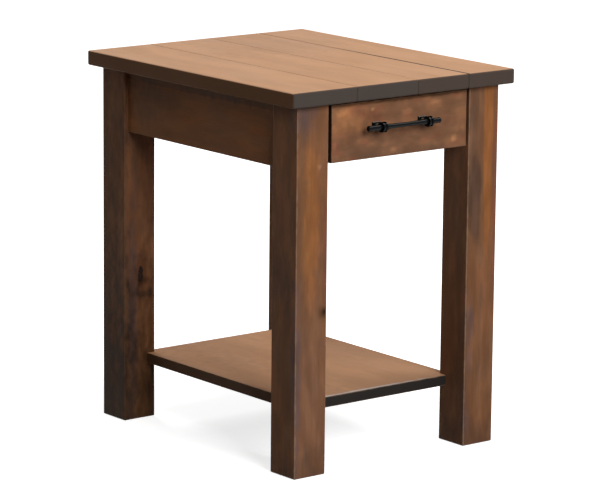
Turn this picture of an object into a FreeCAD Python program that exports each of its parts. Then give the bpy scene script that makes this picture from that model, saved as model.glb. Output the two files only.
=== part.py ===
import FreeCAD, Part
import Sketcher
import math
import os

# End table: plank top, four square legs, inset drawer on ball-bearing slides, low shelf.
# Millimetres, +Z up. X runs along the drawer front, and the drawer opens towards -Y.
# The origin is on the floor, under the middle of the whole table with its pull.

os.makedirs("parts", exist_ok=True)
doc = FreeCAD.newDocument("end_table")
origin = FreeCAD.Vector(0, 0, 0)
x_way = FreeCAD.Vector(1, 0, 0)
z_way = FreeCAD.Vector(0, 0, 1)

# Driving dimensions
SIZES = [
    ("table_height", 635, "floor to the top face"),
    ("top_width", 464, "slab, along the drawer front"),
    ("top_depth", 568, "slab, front to back"),
    ("top_thick", 25, "slab"),
    ("top_edge_round", 3, "eased outer edges of the slab"),
    ("plank_one_width", 129, "first board from the left"),
    ("plank_two_width", 127, "second board"),
    ("plank_three_width", 108, "third board, the fourth takes the rest"),
    ("seam_bevel", 1.5, "small bevel on both sides of each seam"),
    ("side_overhang", 20.5, "slab past the legs, left and right"),
    ("end_overhang", 16, "slab past the legs, front and back"),
    ("leg_side", 63.5, "square legs"),
    ("leg_edge_round", 1.8, "eased long edges of the legs"),
    ("foot_bevel", 1.2, "bevel round the foot of each leg"),
    ("apron_height", 107, "aprons"),
    ("apron_thick", 19, "aprons"),
    ("apron_recess", 8, "aprons behind the outer leg faces"),
    ("apron_edge_round", 1.2, "eased lower edges of the aprons"),
    ("tenon_thick", 9.5, "apron tenons"),
    ("tenon_length", 25, "apron tenons"),
    ("tenon_shoulder", 10, "above and below each tenon"),
    ("tenon_play", 1, "glue space at the end of each mortise"),
    ("rail_width", 42, "front rail, front to back"),
    ("rail_thick", 19, "front rail"),
    ("rail_gap", 1.5, "drawer front to front rail"),
    ("rail_tail_length", 22, "dovetails of the front rail"),
    ("rail_tail_thick", 12, "dovetails of the front rail"),
    ("rail_tail_root", 24, "dovetail at the leg face"),
    ("rail_tail_end", 32, "dovetail at its end"),
    ("cleat_height", 52, "packing rails that carry the slides"),
    ("shelf_top", 113.5, "floor to the shelf's top face"),
    ("shelf_thick", 18, "shelf"),
    ("shelf_inset", 48, "shelf edges behind the outer leg faces"),
    ("shelf_edge_round", 1, "eased edges of the shelf"),
    ("shelf_board_width", 110, "left and right shelf boards, the middle takes the rest"),
    ("drawer_front_height", 94, "drawer front"),
    ("drawer_front_thick", 19, "drawer front"),
    ("drawer_side_gap", 6, "drawer front to legs"),
    ("drawer_top_gap", 4, "drawer front to slab"),
    ("front_edge_round", 1.5, "eased edges of the drawer front"),
    ("box_height", 63, "drawer box"),
    ("box_rear_gap", 90, "drawer box and its slides to the rear apron"),
    ("box_wall", 12.7, "drawer box sides, front and back"),
    ("box_lift", 12, "drawer box above the lower edge of the drawer front"),
    ("tail_wide_share", 0.7, "dovetail at its end, of the tail pitch"),
    ("tail_root_share", 0.5, "dovetail at its root, of the tail pitch"),
    ("bottom_thick", 6, "drawer bottom panel"),
    ("groove_depth", 6, "grooves that hold the drawer bottom"),
    ("groove_lift", 8, "groove above the lower edge of the box"),
    ("bottom_play", 0.5, "drawer bottom to the ends of its grooves"),
    ("slide_space", 12.7, "drawer box to leg face, filled by the slide"),
    ("slide_height", 45, "outer slide member"),
    ("sheet_metal", 1.2, "slide members"),
    ("cage_metal", 0.6, "ball cages"),
    ("cage_length", 200, "ball cages"),
    ("running_gap", 0.3, "between slide members and cages"),
    ("outer_ball", 3.5, "diameter of the outer row of balls"),
    ("inner_ball", 4, "diameter of the inner row of balls"),
    ("ball_play", 0.2, "ball to race"),
    ("ball_pitch", 24, "ball to ball along a cage"),
    ("lip_reach", 0.9, "lip that keeps the outer balls in"),
    ("middle_width", 8.1, "middle slide member, across its flanges"),
    ("outer_width", 12, "outer slide member, across its flanges"),
    ("pull_spacing", 96, "pull posts, centre to centre"),
    ("pull_length", 151, "pull bar, end to end"),
    ("pull_aside", 3, "middle of the drawer to the middle of the posts, to the left"),
    ("pull_bar_aside", 4, "middle of the posts to the middle of the bar, to the left"),
    ("pull_stand", 19, "drawer face to the middle of the bar"),
    ("pull_lift", 53, "lower edge of the drawer front to the bar"),
    ("pull_bar_radius", 4.6, "bar at its ends"),
    ("pull_waist_radius", 3.5, "bar at its middle"),
    ("pull_end_bevel", 1, "bar ends"),
    ("pull_head_radius", 7.3, "head of each post"),
    ("pull_ring_radius", 8.6, "rings of each head"),
    ("pull_head_width", 8.5, "head of each post, along the bar"),
    ("pull_ring_width", 2.3, "rings of each head"),
    ("pull_neck_radius", 4, "neck of each post"),
    ("pull_foot_width", 17, "foot of each post, along the bar"),
    ("pull_foot_height", 13, "foot of each post, up and down"),
    ("pull_foot_thick", 3.2, "foot of each post"),
    ("pull_foot_bevel", 0.7, "foot of each post"),
    ("pull_play", 0.1, "bar in its heads"),
    ("pull_thread_depth", 9, "threaded hole in each post"),
    ("clip_width", 18, "top clips"),
    ("clip_reach", 24, "top clips, along the slab"),
    ("clip_metal", 2, "top clips"),
    ("clip_drop", 12, "slab to the tongue of a top clip"),
    ("clip_tongue", 6, "top clip in its kerf"),
    ("clip_stand", 0.5, "top clip to apron"),
    ("kerf_depth", 8, "kerf for the top clips"),
    ("kerf_play", 0.5, "top clip in its kerf, above and below"),
    ("pocket_back", 18, "head of a shelf screw behind the notch in the leg"),
    ("screw_play", 0.05, "screw to its hole, on the radius"),
    ("overrun", 3, "cuts that run out of the wood"),
]

# Screws: radius of the head, its rise above its seat, its countersink, radius of the shank, length
SCREW_PARTS = ("head", "rise", "sink", "shank", "length")
SCREWS = {
    "cleat_screw": (4.6, 0, 3, 2.1, 46),
    "rail_screw": (4.6, 0, 3, 2.1, 36),
    "pocket_screw": (4.2, 2.2, 0, 1.9, 32),
    "clip_screw": (3.8, 1.8, 0, 1.8, 15),
    "front_screw": (4.2, 2, 0, 2, 27),
    "pull_screw": (4.2, 2.2, 0, 2, 38),
    "case_screw": (3.4, 0, 1.9, 1.9, 16),
    "drawer_screw": (3.4, 0, 1.9, 1.9, 11.5),
}
for kind, values in SCREWS.items():
    SIZES += [(f"{kind}_{part}", value, "screws") for part, value in zip(SCREW_PARTS, values)]

# Places worked out from the driving dimensions
PLACES = [
    ("slab_half", "Sizes.top_width / 2"),
    ("slab_back", "(Sizes.top_depth + Sizes.pull_stand + Sizes.pull_ring_radius - Sizes.end_overhang) / 2"),
    ("slab_front", "slab_back - Sizes.top_depth"),
    ("slab_under", "Sizes.table_height - Sizes.top_thick"),
    ("seam_one", "Sizes.plank_one_width - slab_half"),
    ("seam_two", "seam_one + Sizes.plank_two_width"),
    ("seam_three", "seam_two + Sizes.plank_three_width"),
    ("leg_outer", "slab_half - Sizes.side_overhang"),
    ("leg_inner", "leg_outer - Sizes.leg_side"),
    ("leg_front", "slab_front + Sizes.end_overhang"),
    ("leg_back", "slab_back - Sizes.end_overhang"),
    ("front_leg_back", "leg_front + Sizes.leg_side"),
    ("rear_leg_front", "leg_back - Sizes.leg_side"),
    ("apron_low", "slab_under - Sizes.apron_height"),
    ("apron_outer", "leg_outer - Sizes.apron_recess"),
    ("apron_inner", "apron_outer - Sizes.apron_thick"),
    ("rear_apron_outer", "leg_back - Sizes.apron_recess"),
    ("rear_apron_inner", "rear_apron_outer - Sizes.apron_thick"),
    ("cheek", "(Sizes.apron_thick - Sizes.tenon_thick) / 2"),
    ("tenon_low", "apron_low + Sizes.tenon_shoulder"),
    ("tenon_high", "slab_under - Sizes.tenon_shoulder"),
    ("mortise_depth", "Sizes.tenon_length + Sizes.tenon_play"),
    ("front_back", "leg_front + Sizes.drawer_front_thick"),
    ("front_high", "slab_under - Sizes.drawer_top_gap"),
    ("front_low", "front_high - Sizes.drawer_front_height"),
    ("front_half", "leg_inner - Sizes.drawer_side_gap"),
    ("rail_front", "front_back + Sizes.rail_gap"),
    ("rail_back", "rail_front + Sizes.rail_width"),
    ("rail_low", "slab_under - Sizes.rail_thick"),
    ("rail_middle", "(rail_front + rail_back) / 2"),
    ("rail_tail_tip", "leg_inner + Sizes.rail_tail_length"),
    ("rail_tail_low", "slab_under - Sizes.rail_tail_thick"),
    ("box_half", "leg_inner - Sizes.slide_space"),
    ("box_inner", "box_half - Sizes.box_wall"),
    ("box_front", "front_back"),
    ("box_back", "rear_apron_inner - Sizes.box_rear_gap"),
    ("box_front_inner", "box_front + Sizes.box_wall"),
    ("box_back_inner", "box_back - Sizes.box_wall"),
    ("box_low", "front_low + Sizes.box_lift"),
    ("box_high", "box_low + Sizes.box_height"),
    ("groove_low", "box_low + Sizes.groove_lift"),
    ("groove_high", "groove_low + Sizes.bottom_thick"),
    ("slide_middle", "(box_low + box_high) / 2"),
    ("cleat_low", "slide_middle - Sizes.cleat_height / 2"),
    ("cleat_high", "slide_middle + Sizes.cleat_height / 2"),
    ("slide_front", "box_front"),
    ("slide_back", "box_back"),
    ("slide_y", "(slide_front + slide_back) / 2"),
    ("cage_front", "slide_y - Sizes.cage_length / 2"),
    ("cage_back", "slide_y + Sizes.cage_length / 2"),
    ("outer_cage_base", "Sizes.sheet_metal + Sizes.running_gap"),
    ("middle_base", "outer_cage_base + Sizes.cage_metal + Sizes.running_gap"),
    ("middle_tip", "middle_base + Sizes.middle_width"),
    ("inner_cage_base", "middle_base + Sizes.sheet_metal + Sizes.running_gap"),
    ("inner_tip", "inner_cage_base + Sizes.cage_metal + Sizes.running_gap"),
    ("outer_race", "Sizes.slide_height / 2 - Sizes.sheet_metal"),
    ("middle_high", "outer_race - Sizes.outer_ball - 2 * Sizes.ball_play"),
    ("middle_race", "middle_high - Sizes.sheet_metal"),
    ("inner_high", "middle_race - Sizes.inner_ball - 2 * Sizes.ball_play"),
    ("outer_ball_up", "(outer_race + middle_high) / 2"),
    ("inner_ball_up", "(middle_race + inner_high) / 2"),
    ("outer_ball_in", "(middle_base + middle_tip) / 2"),
    ("inner_ball_in", "(inner_tip + middle_tip) / 2"),
    ("shelf_low", "Sizes.shelf_top - Sizes.shelf_thick"),
    ("shelf_half", "leg_outer - Sizes.shelf_inset"),
    ("shelf_front", "leg_front + Sizes.shelf_inset"),
    ("shelf_back", "leg_back - Sizes.shelf_inset"),
    ("shelf_seam", "shelf_half - Sizes.shelf_board_width"),
    ("bar_y", "leg_front - Sizes.pull_stand"),
    ("bar_z", "front_low + Sizes.pull_lift"),
    ("kerf_low", "slab_under - Sizes.clip_drop - Sizes.kerf_play"),
    ("kerf_high", "slab_under - Sizes.clip_drop + Sizes.clip_metal + Sizes.kerf_play"),
]


def fill(name, rows):
    """Make a sheet with one named value to a row."""
    made = doc.addObject("Spreadsheet::Sheet", name)
    for number, row in enumerate(rows, 1):
        made.set(f"A{number}", row[0])
        made.setAlias(f"B{number}", row[0])
    for number, row in enumerate(rows, 1):
        made.set(f"B{number}", str(row[1]))
    return made


sizes = fill("Sizes", SIZES)
doc.recompute()
places = fill("Places", [(name, "=" + rule) for name, rule in PLACES])
doc.recompute()


def size(name):
    """A driving dimension as a number."""
    return float(sizes.get(name))


def place(name):
    """A worked-out place as a number."""
    return float(places.get(name))


def mirrored(side, rule):
    """A rule for the right-hand side (side 1) or its mirror image (side -1)."""
    return rule if side > 0 else f"-({rule})"


def sorted_span(side, span):
    """A span in rising order on either side of the table."""
    return tuple(span) if side > 0 else (span[1], span[0])


# Sketches and features

def outline(body, name, role, offset, corners):
    """Sketch a closed outline on a plane of the body, with every corner bound to the sheets."""
    support = next(item for item in body.Origin.OriginFeatures if item.Role == role)
    sketch = body.newObject("Sketcher::SketchObject", name)
    sketch.AttachmentSupport = [(support, "")]
    sketch.MapMode = "FlatFace"
    sketch.setExpression("AttachmentOffset.Base.z", offset)
    count = len(corners)
    turns = [2 * math.pi * number / count for number in range(count)]
    ring = [FreeCAD.Vector(math.cos(turn), math.sin(turn), 0) for turn in turns]
    for number in range(count):
        sketch.addGeometry(Part.LineSegment(ring[number], ring[(number + 1) % count]))
    for number in range(count):
        following = (number + 1) % count
        sketch.addConstraint(Sketcher.Constraint("Coincident", number, 2, following, 1))
    for number, (across, up) in enumerate(corners):
        for way, rule, start in (("DistanceX", across, ring[number].x), ("DistanceY", up, ring[number].y)):
            index = sketch.addConstraint(Sketcher.Constraint(way, -1, 1, number, 1, start))
            sketch.setExpression(f"Constraints[{index}]", rule)
    return sketch


def box_corners(low_a, high_a, low_b, high_b):
    """The four corners of a rectangle."""
    return [(low_a, low_b), (high_a, low_b), (high_a, high_b), (low_a, high_b)]


def padded(body, sketch, length):
    """Pad a sketch along its own normal."""
    pad = body.newObject("PartDesign::Pad", sketch.Name + "_pad")
    pad.Profile = sketch
    pad.setExpression("Length", length)
    return pad


def pocketed(body, sketch, length):
    """Cut a sketch along its own normal."""
    pocket = body.newObject("PartDesign::Pocket", sketch.Name + "_pocket")
    pocket.Profile = sketch
    pocket.Reversed = True
    pocket.setExpression("Length", length)
    return pocket


def block(label, x_span, y_span, z_span):
    """A body that starts as a rectangular piece."""
    body = doc.addObject("PartDesign::Body", label)
    body.Label = label
    sketch = outline(body, label + "_plan", "XY_Plane", z_span[0], box_corners(*x_span, *y_span))
    padded(body, sketch, f"({z_span[1]}) - ({z_span[0]})")
    return body


def cut_block(body, name, x_span, y_span, z_span):
    """Cut a rectangular hollow out of a body."""
    sketch = outline(body, name, "XY_Plane", z_span[0], box_corners(*x_span, *y_span))
    return pocketed(body, sketch, f"({z_span[1]}) - ({z_span[0]})")


def add_block(body, name, x_span, y_span, z_span):
    """Add a rectangular piece to a body."""
    sketch = outline(body, name, "XY_Plane", z_span[0], box_corners(*x_span, *y_span))
    return padded(body, sketch, f"({z_span[1]}) - ({z_span[0]})")


TOUCH_SHARE = 0.001


def near(first, second):
    """Two places that are the same, to a small share of the slab's thickness."""
    return abs(first - second) < size("top_thick") * TOUCH_SHARE


def soften(body, kind, property_name, rule, chosen):
    """Round or bevel the edges of the body's last feature that a test chooses."""
    doc.recompute()
    base = body.Tip
    names = [f"Edge{number}" for number, edge in enumerate(base.Shape.Edges, 1) if chosen(edge)]
    feature = body.newObject("PartDesign::" + kind, f"{body.Name}_{kind.lower()}")
    feature.Base = (base, names)
    feature.setExpression(property_name, rule)
    return feature


def along(edge, axis):
    """An edge that runs along one axis."""
    box = edge.BoundBox
    spans = [box.XLength, box.YLength, box.ZLength]
    return all(near(span, 0) for number, span in enumerate(spans) if number != axis)


# Screws: one profile turned about +Z, from the head down, and the hole that it fits

def turned(points):
    """A solid turned about +Z from (radius, depth) points."""
    corners = [FreeCAD.Vector(radius, 0, depth) for radius, depth in points]
    face = Part.Face(Part.makePolygon(corners + [corners[0]]))
    return face.revolve(origin, z_way, 360)


TIP_SHARE = 0.12
CROWN_SHARE = 0.7
RECESS_WIDTH_SHARE = 0.24
RECESS_DEPTH_SHARE = 0.3


def screw_sizes(kind):
    """The sizes of one kind of screw, from the sheet."""
    return [size(f"{kind}_{part}") for part in SCREW_PARTS]


def screw_solid(kind):
    """A screw with its seat or flush face at zero, pointing along +Z, and a cross recess."""
    head, rise, sink, shank, length = screw_sizes(kind)
    tip = 0 if kind == "pull_screw" else length * TIP_SHARE
    points = [(0, -rise)]
    if rise:
        points += [(head * CROWN_SHARE, -rise), (head, -rise / 2)]
    points += [(head, 0), (shank, sink), (shank, length - tip), (0, length)]
    solid = turned(points)
    width = head * RECESS_WIDTH_SHARE
    depth = (rise + sink) * RECESS_DEPTH_SHARE
    for wide, deep in ((head, width), (width, head)):
        corner = FreeCAD.Vector(-wide / 2, -deep / 2, -rise - depth)
        solid = solid.cut(Part.makeBox(wide, deep, 2 * depth, corner))
    return solid.Solids[0]


def screw_hole(kind):
    """The hole for a screw, with its way in cut clear behind the head."""
    head, rise, sink, shank, length = screw_sizes(kind)
    play, clear = size("screw_play"), size("overrun") + rise
    return turned([(0, -clear), (head + play, -clear), (head + play, 0), (shank + play, sink + play),
                   (shank + play, length + play), (0, length + play)])


def aimed(shape, where, way):
    """A copy of a shape, moved to a place and turned from +Z to a direction."""
    copy = shape.copy()
    copy.Placement = FreeCAD.Placement(FreeCAD.Vector(*where), FreeCAD.Rotation(z_way, FreeCAD.Vector(*way)))
    return copy


nodes = {}
fixings = {}


def fixed_with(name, kind, spots):
    """One group of identical screws, and the holes that they need."""
    group = doc.addObject("Part::Feature", name)
    group.Shape = Part.makeCompound([aimed(screw_solid(kind), *spot) for spot in spots])
    group.Placement = FreeCAD.Placement()
    group.Label = name
    nodes[name] = group
    holes = doc.addObject("Part::Feature", name + "_holes")
    holes.Shape = Part.makeCompound([aimed(screw_hole(kind), *spot) for spot in spots])
    fixings[name] = holes


def bored(label, base, names):
    """The finished piece: a blank with the holes of the named screws cut out of it."""
    blank = base
    for number, name in enumerate(names):
        cut = doc.addObject("Part::Cut", f"{label}_bored_{number}")
        cut.Base = blank
        cut.Tool = fixings[name]
        blank = cut
    if blank is not base:
        base.Label = label + "_blank"
    blank.Label = label
    nodes[label] = blank


# Where the screws go

def between(low, high, shares):
    """Places that divide a span by shares."""
    return [place(low) + (place(high) - place(low)) * share for share in shares]


SLIDE_CASE_SHARES = (0.08, 0.5, 0.94)
SLIDE_DRAWER_SHARES = (0.12, 0.88)
CLEAT_SCREW_SHARES = (0.12, 0.46, 0.9)
CLEAT_SCREW_UP_SHARE = 0.25
CLIP_SIDE_SHARES = (0.28, 0.75)
RAIL_SCREW_SHARE = 0.62
FRONT_SCREW_SHARES = (0.4, 0.82)
FRONT_SCREW_WIDTH_SHARE = 0.75
CLIP_REAR_SHARE = 0.5
CLIP_HOLE_SHARE = 0.62
POCKET_SLOPE = math.radians(15)
TAIL_COUNT = 3
BALL_COUNT = 8


def place_screws():
    """Make every group of screws."""
    slide_spots = between("slide_front", "slide_back", SLIDE_CASE_SHARES)
    web = place("leg_inner") - size("sheet_metal")
    fixed_with("slide_case_screws", "case_screw",
               [((side * web, y_value, place("slide_middle")), (side, 0, 0))
                for side in (-1, 1) for y_value in slide_spots])
    web = place("box_half") + size("sheet_metal")
    drawer_spots = between("slide_front", "slide_back", SLIDE_DRAWER_SHARES)
    fixed_with("slide_drawer_screws", "drawer_screw",
               [((side * web, y_value, place("slide_middle")), (-side, 0, 0))
                for side in (-1, 1) for y_value in drawer_spots])
    cleat_spots = between("front_leg_back", "rear_leg_front", CLEAT_SCREW_SHARES)
    offset = size("slide_height") * CLEAT_SCREW_UP_SHARE
    fixed_with("cleat_screws", "cleat_screw",
               [((side * place("leg_inner"), y_value, place("slide_middle") + offset), (side, 0, 0))
                for side in (-1, 1) for y_value in cleat_spots])
    fixed_with("front_rail_screws", "rail_screw",
               [((side * place("leg_inner") * RAIL_SCREW_SHARE, place("rail_middle"), place("rail_low")),
                 (0, 0, 1)) for side in (-1, 1)])
    fixed_with("top_clip_screws", "clip_screw",
               [((spot[0][0], spot[0][1], place("slab_under") - size("clip_metal")), (0, 0, 1))
                for spot in clip_spots(CLIP_HOLE_SHARE)])
    fixed_with("shelf_screws", "pocket_screw", shelf_screw_spots())
    open_pockets()
    high = between("box_low", "box_high", FRONT_SCREW_SHARES)
    width = place("box_inner") * FRONT_SCREW_WIDTH_SHARE
    fixed_with("drawer_front_screws", "front_screw",
               [((side * width, place("box_front_inner"), z_value), (0, -1, 0))
                for side in (-1, 1) for z_value in high])
    fixed_with("pull_screws", "pull_screw",
               [((side * size("pull_spacing") / 2 - size("pull_aside"), place("box_front_inner"), place("bar_z")),
                 (0, -1, 0)) for side in (-1, 1)])


def shelf_screw_spots():
    """Pocket screws that rise from under the shelf into the notched corner of each leg."""
    back = size("pocket_back")
    middle = size("shelf_top") - size("shelf_thick") / 2
    spots = []
    for side in (-1, 1):
        for low, high in (("shelf_front", "front_leg_back"), ("rear_leg_front", "shelf_back")):
            y_value = (place(low) + place(high)) / 2
            x_value = side * (place("shelf_half") - back * math.cos(POCKET_SLOPE))
            z_value = middle - back * math.sin(POCKET_SLOPE)
            way = (side * math.cos(POCKET_SLOPE), 0, math.sin(POCKET_SLOPE))
            spots.append(((x_value, y_value, z_value), way))
    return spots


def open_pockets():
    """The pocket behind each shelf screw's head, open on the shelf's underside."""
    radius = size("pocket_screw_head") + size("running_gap")
    pockets = []
    for where, way in shelf_screw_spots():
        back = tuple(-part for part in way)
        pockets.append(aimed(Part.makeCylinder(radius, 2 * size("shelf_thick")), where, back))
    holes = doc.addObject("Part::Feature", "shelf_pockets")
    holes.Shape = Part.makeCompound(pockets)
    fixings["shelf_pockets"] = holes


def clip_spots(reach_share):
    """Places along the clips, measured from the apron by a share of their reach, with their way in."""
    reach = size("clip_reach") * reach_share
    spots = []
    for side in (-1, 1):
        for y_value in between("front_leg_back", "rear_leg_front", CLIP_SIDE_SHARES):
            spots.append(((side * (place("apron_inner") - reach), y_value), (-side, 0)))
    for side in (-1, 1):
        x_value = side * place("leg_inner") * CLIP_REAR_SHARE
        spots.append(((x_value, place("rear_apron_inner") - reach), (0, -1)))
    return spots


# Top

def make_top():
    """Four planks, eased round the slab's outside and bevelled along the seams."""
    seams = ["seam_one", "seam_two", "seam_three"]
    rules = ["-Places.slab_half"] + ["Places." + name for name in seams] + ["Places.slab_half"]
    seam_values = [place(name) for name in seams]
    for number in range(len(rules) - 1):
        label = f"top_plank_{number + 1}"
        body = block(label, (rules[number], rules[number + 1]), ("Places.slab_front", "Places.slab_back"),
                     ("Places.slab_under", "Sizes.table_height"))

        def outside(edge):
            """Edges of the slab, not of a seam."""
            return not any(near(edge.CenterOfMass.x, seam) for seam in seam_values)

        def on_seam(edge):
            """The upper edge along a seam."""
            centre = edge.CenterOfMass
            return along(edge, 1) and near(centre.z, size("table_height")) and not outside(edge)

        soften(body, "Fillet", "Radius", "Sizes.top_edge_round", outside)
        soften(body, "Chamfer", "Size", "Sizes.seam_bevel", on_seam)
        bored(label, body, ["top_clip_screws", "front_rail_screws"])


# Legs

def make_leg(side, front):
    """A square leg with its mortises, the notch for the shelf and, in front, the rail's socket."""
    label = ("leg_front_" if front else "leg_rear_") + ("right" if side > 0 else "left")
    y_span = ("Places.leg_front", "Places.front_leg_back")
    if not front:
        y_span = ("Places.rear_leg_front", "Places.leg_back")
    inner_y = y_span[1] if front else y_span[0]
    x_span = [mirrored(side, "Places.leg_inner"), mirrored(side, "Places.leg_outer")]
    body = block(label, sorted_span(side, x_span), y_span, ("0", "Places.slab_under"))
    soften(body, "Fillet", "Radius", "Sizes.leg_edge_round", lambda edge: along(edge, 2))
    soften(body, "Chamfer", "Size", "Sizes.foot_bevel", lambda edge: near(edge.CenterOfMass.z, 0))
    into = -1 if front else 1
    ends = [f"{inner_y} - ({into}) * Sizes.overrun", f"{inner_y} + ({into}) * Places.mortise_depth"]
    x_rules = [mirrored(side, "Places.apron_outer - Places.cheek"),
               mirrored(side, "Places.apron_inner + Places.cheek")]
    cut_block(body, label + "_side_mortise", x_rules, ends, ("Places.tenon_low", "Places.tenon_high"))
    x_ends = [mirrored(side, "Places.leg_inner - Sizes.overrun"),
              mirrored(side, "Places.leg_inner + Places.mortise_depth")]
    if front:
        cut_rail_socket(body, label, side)
    else:
        y_rules = ("Places.rear_apron_inner + Places.cheek", "Places.rear_apron_outer - Places.cheek")
        cut_block(body, label + "_rear_mortise", x_ends, y_rules, ("Places.tenon_low", "Places.tenon_high"))
    notch_x = [mirrored(side, "Places.leg_inner - Sizes.overrun"), mirrored(side, "Places.shelf_half")]
    shelf_end = "Places.shelf_front" if front else "Places.shelf_back"
    notch_y = [f"{inner_y} - ({into}) * Sizes.overrun", shelf_end]
    cut_block(body, label + "_shelf_notch", notch_x, notch_y, ("Places.shelf_low", "Sizes.shelf_top"))
    screws = ["shelf_screws"] + (["slide_case_screws"] if front else [])
    bored(label, body, screws)


def rail_tail(side):
    """Plan of the front rail's dovetail on one side."""
    root, end = "Sizes.rail_tail_root / 2", "Sizes.rail_tail_end / 2"
    base, tip = mirrored(side, "Places.leg_inner"), mirrored(side, "Places.rail_tail_tip")
    middle = "Places.rail_middle"
    return [(base, f"{middle} - {root}"), (tip, f"{middle} - {end}"),
            (tip, f"{middle} + {end}"), (base, f"{middle} + {root}")]


def cut_rail_socket(body, label, side):
    """The socket in the leg's top for the front rail's dovetail."""
    sketch = outline(body, label + "_rail_socket", "XY_Plane", "Places.rail_tail_low", rail_tail(side))
    pocketed(body, sketch, "Sizes.rail_tail_thick + Sizes.overrun")


# Aprons, front rail and cleats

def make_side_apron(side):
    """A side apron with a tenon at each end and a kerf for the top clips."""
    label = "apron_right" if side > 0 else "apron_left"
    x_span = sorted_span(side, [mirrored(side, "Places.apron_inner"), mirrored(side, "Places.apron_outer")])
    body = block(label, x_span, ("Places.front_leg_back", "Places.rear_leg_front"),
                 ("Places.apron_low", "Places.slab_under"))
    soften(body, "Fillet", "Radius", "Sizes.apron_edge_round",
           lambda edge: along(edge, 1) and near(edge.CenterOfMass.z, place("apron_low")))
    x_rules = sorted_span(side, [mirrored(side, "Places.apron_inner + Places.cheek"),
                                 mirrored(side, "Places.apron_outer - Places.cheek")])
    y_rules = ("Places.front_leg_back - Sizes.tenon_length", "Places.rear_leg_front + Sizes.tenon_length")
    add_block(body, label + "_tenons", x_rules, y_rules, ("Places.tenon_low", "Places.tenon_high"))
    kerf_x = [mirrored(side, "Places.apron_inner - Sizes.overrun"),
              mirrored(side, "Places.apron_inner + Sizes.kerf_depth")]
    kerf_y = ("Places.front_leg_back", "Places.rear_leg_front")
    cut_block(body, label + "_kerf", kerf_x, kerf_y, ("Places.kerf_low", "Places.kerf_high"))
    bored(label, body, ["cleat_screws"])


def make_rear_apron():
    """The rear apron, with its tenons and kerf."""
    label = "apron_rear"
    body = block(label, ("-Places.leg_inner", "Places.leg_inner"),
                 ("Places.rear_apron_inner", "Places.rear_apron_outer"), ("Places.apron_low", "Places.slab_under"))
    soften(body, "Fillet", "Radius", "Sizes.apron_edge_round",
           lambda edge: along(edge, 0) and near(edge.CenterOfMass.z, place("apron_low")))
    x_rules = ("-Places.leg_inner - Sizes.tenon_length", "Places.leg_inner + Sizes.tenon_length")
    y_rules = ("Places.rear_apron_inner + Places.cheek", "Places.rear_apron_outer - Places.cheek")
    add_block(body, label + "_tenons", x_rules, y_rules, ("Places.tenon_low", "Places.tenon_high"))
    kerf_x = ("-Places.leg_inner", "Places.leg_inner")
    kerf_y = ("Places.rear_apron_inner - Sizes.overrun", "Places.rear_apron_inner + Sizes.kerf_depth")
    cut_block(body, label + "_kerf", kerf_x, kerf_y, ("Places.kerf_low", "Places.kerf_high"))
    bored(label, body, [])


def make_front_rail():
    """The flat rail behind the top of the drawer front, dovetailed into the legs."""
    label = "front_rail"
    body = block(label, ("-Places.leg_inner", "Places.leg_inner"), ("Places.rail_front", "Places.rail_back"),
                 ("Places.rail_low", "Places.slab_under"))
    for side in (-1, 1):
        name = f"{label}_tail_{'right' if side > 0 else 'left'}"
        sketch = outline(body, name, "XY_Plane", "Places.rail_tail_low", rail_tail(side))
        padded(body, sketch, "Sizes.rail_tail_thick")
    bored(label, body, ["front_rail_screws"])


def make_cleat(side):
    """The packing rail that brings the slide level with the legs' inner faces."""
    label = "slide_cleat_right" if side > 0 else "slide_cleat_left"
    x_span = sorted_span(side, [mirrored(side, "Places.leg_inner"), mirrored(side, "Places.apron_inner")])
    body = block(label, x_span, ("Places.front_leg_back", "Places.rear_leg_front"),
                 ("Places.cleat_low", "Places.cleat_high"))
    bored(label, body, ["cleat_screws", "slide_case_screws"])


def make_top_clips():
    """Z-shaped clips: tongue in the apron's kerf, plate against the slab."""
    metal, drop, reach = size("clip_metal"), size("clip_drop"), size("clip_reach")
    stand, tongue, width = size("clip_stand"), size("clip_tongue"), size("clip_width")
    profile = [(-tongue, -drop), (stand + metal, -drop), (stand + metal, -metal), (reach, -metal),
               (reach, 0), (stand, 0), (stand, metal - drop), (-tongue, metal - drop)]
    corners = [FreeCAD.Vector(out, -width / 2, place("slab_under") + up) for out, up in profile]
    clip = Part.Face(Part.makePolygon(corners + [corners[0]])).extrude(FreeCAD.Vector(0, width, 0))
    solids = []
    for (x_value, y_value), (way_x, way_y) in clip_spots(0):
        copy = clip.copy()
        turn = FreeCAD.Rotation(x_way, FreeCAD.Vector(way_x, way_y, 0))
        copy.Placement = FreeCAD.Placement(FreeCAD.Vector(x_value, y_value, 0), turn)
        solids.append(copy)
    group = doc.addObject("Part::Feature", "top_clips_blank")
    group.Shape = Part.makeCompound(solids)
    bored("top_clips", group, ["top_clip_screws"])


# Shelf

def make_shelf():
    """Three boards glued edge to edge, let into the inner corners of the legs."""
    rules = ["-Places.shelf_half", "-Places.shelf_seam", "Places.shelf_seam", "Places.shelf_half"]
    seams = [-place("shelf_seam"), place("shelf_seam")]
    for number in range(len(rules) - 1):
        label = f"shelf_board_{number + 1}"
        body = block(label, (rules[number], rules[number + 1]), ("Places.shelf_front", "Places.shelf_back"),
                     ("Places.shelf_low", "Sizes.shelf_top"))

        def outside(edge):
            """Long edges of the shelf between the legs."""
            return not along(edge, 2) and not any(near(edge.CenterOfMass.x, seam) for seam in seams)

        soften(body, "Fillet", "Radius", "Sizes.shelf_edge_round", outside)
        bored(label, body, [] if number == 1 else ["shelf_screws", "shelf_pockets"])


# Drawer

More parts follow.
